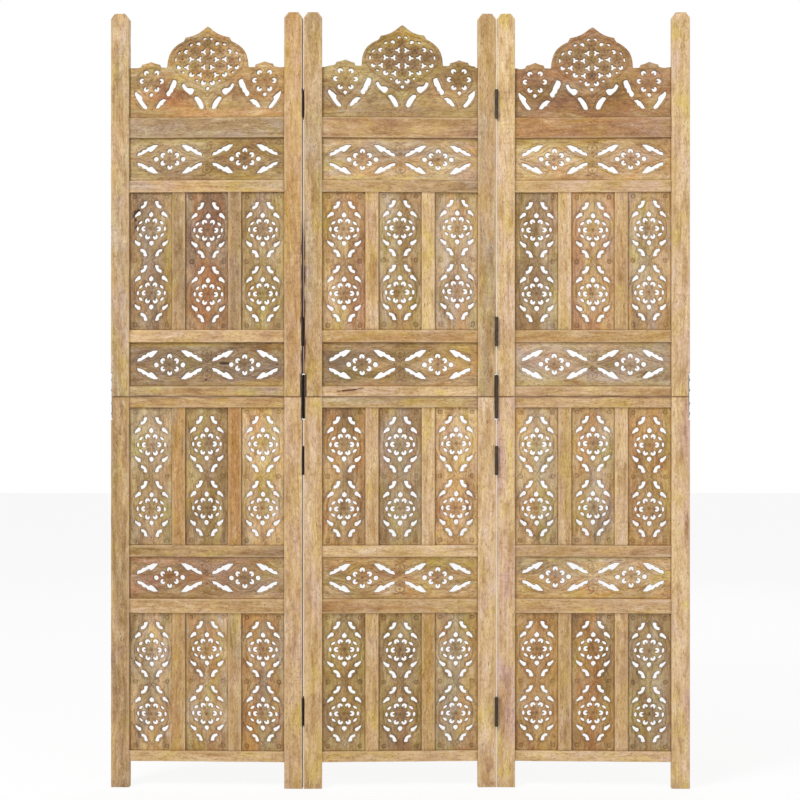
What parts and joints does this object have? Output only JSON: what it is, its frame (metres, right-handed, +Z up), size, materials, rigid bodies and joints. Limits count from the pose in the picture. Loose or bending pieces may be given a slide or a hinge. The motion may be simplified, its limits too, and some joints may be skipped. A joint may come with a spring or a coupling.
{
  "type": "folding jali screen",
  "caption": "Free-standing folding room divider of hinged wooden panels, each a frame that holds pierced and carved lattice boards under an ogee crest.",
  "frame": {"origin": "on the floor under the middle of the middle panel", "axes": "+Z up along the uprights, +X along the screen to the right as seen from the front, the front faces -Y"},
  "size_m": [1.2354, 0.0392, 1.65],
  "materials": {
    "stile_wood": "waxed mango wood, pale tan",
    "rail_wood": "waxed mango wood, tan",
    "carved_wood": "hand-carved mango wood, honey brown",
    "hinge_metal": "dark bronze lacquered steel",
    "plate_metal": "dull plain steel",
    "screw_metal": "dull steel"
  },
  "bodies": {
    "middle_panel": {"left_joint_pins": "hinge_metal", "middle_crest_board": "carved_wood", "middle_hinge_leaves_left": "hinge_metal", "middle_hinge_leaves_right": "hinge_metal", "middle_hinge_screws": "screw_metal", "middle_lower_frieze": "carved_wood", "middle_lower_jali": "carved_wood", "middle_lower_muntins": "rail_wood", "middle_lower_rails": "rail_wood", "middle_lower_stile_left": "stile_wood", "middle_lower_stile_right": "stile_wood", "middle_middle_jali": "carved_wood", "middle_upper_frieze": "carved_wood", "middle_upper_jali": "carved_wood", "middle_upper_muntins": "rail_wood", "middle_upper_rails": "rail_wood", "middle_upper_stile_left": "stile_wood", "middle_upper_stile_right": "stile_wood", "middle_waist_frieze": "carved_wood", "right_joint_pins": "hinge_metal"},
    "left_panel": {"left_crest_board": "carved_wood", "left_edge_plate": "plate_metal", "left_hinge_leaves": "hinge_metal", "left_hinge_screws": "screw_metal", "left_lower_frieze": "carved_wood", "left_lower_jali": "carved_wood", "left_lower_muntins": "rail_wood", "left_lower_rails": "rail_wood", "left_lower_stile_left": "stile_wood", "left_lower_stile_right": "stile_wood", "left_middle_jali": "carved_wood", "left_plate_screws": "screw_metal", "left_upper_frieze": "carved_wood", "left_upper_jali": "carved_wood", "left_upper_muntins": "rail_wood", "left_upper_rails": "rail_wood", "left_upper_stile_left": "stile_wood", "left_upper_stile_right": "stile_wood", "left_waist_frieze": "carved_wood"},
    "right_panel": {"right_crest_board": "carved_wood", "right_edge_plate": "plate_metal", "right_hinge_leaves": "hinge_metal", "right_hinge_screws": "screw_metal", "right_lower_frieze": "carved_wood", "right_lower_jali": "carved_wood", "right_lower_muntins": "rail_wood", "right_lower_rails": "rail_wood", "right_lower_stile_left": "stile_wood", "right_lower_stile_right": "stile_wood", "right_middle_jali": "carved_wood", "right_plate_screws": "screw_metal", "right_upper_frieze": "carved_wood", "right_upper_jali": "carved_wood", "right_upper_muntins": "rail_wood", "right_upper_rails": "rail_wood", "right_upper_stile_left": "stile_wood", "right_upper_stile_right": "stile_wood", "right_waist_frieze": "carved_wood"}
  },
  "joints": [
    {"name": "left_fold", "type": "hinge", "parent": "middle_panel", "child": "left_panel", "pos_m": [-0.20584, 0.00629, 0.833], "axis": [0, 0, -1], "range_deg": [-4.8, 175.2]},
    {"name": "right_fold", "type": "hinge", "parent": "middle_panel", "child": "right_panel", "pos_m": [0.20584, -0.00629, 0.833], "axis": [0, 0, -1], "range_deg": [-4.8, 175.2]}
  ]
}
